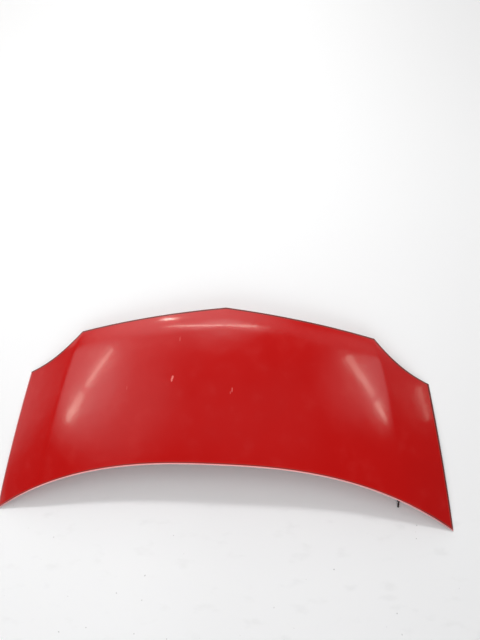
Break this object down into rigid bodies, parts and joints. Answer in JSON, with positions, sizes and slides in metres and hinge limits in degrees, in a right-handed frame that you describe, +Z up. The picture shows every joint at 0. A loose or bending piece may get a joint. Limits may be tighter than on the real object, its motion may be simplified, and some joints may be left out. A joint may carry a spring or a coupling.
{
  "type": "car bonnet",
  "caption": "Red car bonnet: a hemmed, crowned outer skin over a pressed inner frame, with hinge pads, latch striker, front seal, rubber stops and a washer hose end.",
  "frame": {"origin": "middle of the panel's plan box, at the height of the four corners that it rests on", "axes": "+X across the panel to the right side, +Y towards the front edge, +Z up out of the painted face"},
  "size_m": [1.4424, 0.6733, 0.1365],
  "materials": {
    "red_paint": "gloss",
    "inner_red_paint": "satin",
    "zinc_plate": "satin",
    "black_rubber": "matte",
    "black_plastic": "matte",
    "grey_mastic": "matte"
  },
  "bodies": {
    "root": {"outer_skin": "red_paint", "inner_panel": "inner_red_paint", "hinge_reinforcement_left": "inner_red_paint", "hinge_reinforcement_right": "inner_red_paint", "hinge_nut_left_front": "zinc_plate", "hinge_nut_left_rear": "zinc_plate", "hinge_nut_right_front": "zinc_plate", "hinge_nut_right_rear": "zinc_plate", "latch_reinforcement": "inner_red_paint", "latch_nut_left": "zinc_plate", "latch_nut_right": "zinc_plate", "striker_plate": "zinc_plate", "striker_loop": "zinc_plate", "striker_bolt_left": "zinc_plate", "striker_bolt_right": "zinc_plate", "front_buffer_left": "black_rubber", "front_buffer_right": "black_rubber", "drain_plug_left": "black_rubber", "drain_plug_right": "black_rubber", "stay_socket": "black_plastic", "stay_hole_plug": "black_plastic", "front_seal": "black_rubber", "seal_clip_left_1": "black_plastic", "seal_clip_left_2": "black_plastic", "seal_clip_right_1": "black_plastic", "seal_clip_right_2": "black_plastic", "mastic_left_1": "grey_mastic", "mastic_left_2": "grey_mastic", "mastic_left_3": "grey_mastic", "mastic_left_4": "grey_mastic", "mastic_left_5": "grey_mastic", "mastic_left_6": "grey_mastic", "mastic_right_1": "grey_mastic", "mastic_right_2": "grey_mastic", "mastic_right_3": "grey_mastic", "mastic_right_4": "grey_mastic", "mastic_right_5": "grey_mastic", "mastic_right_6": "grey_mastic", "hose_grommet": "black_rubber", "grommet_hole_plug": "black_rubber", "washer_hose": "black_rubber", "hose_connector": "black_plastic"}
  },
  "joints": []
}
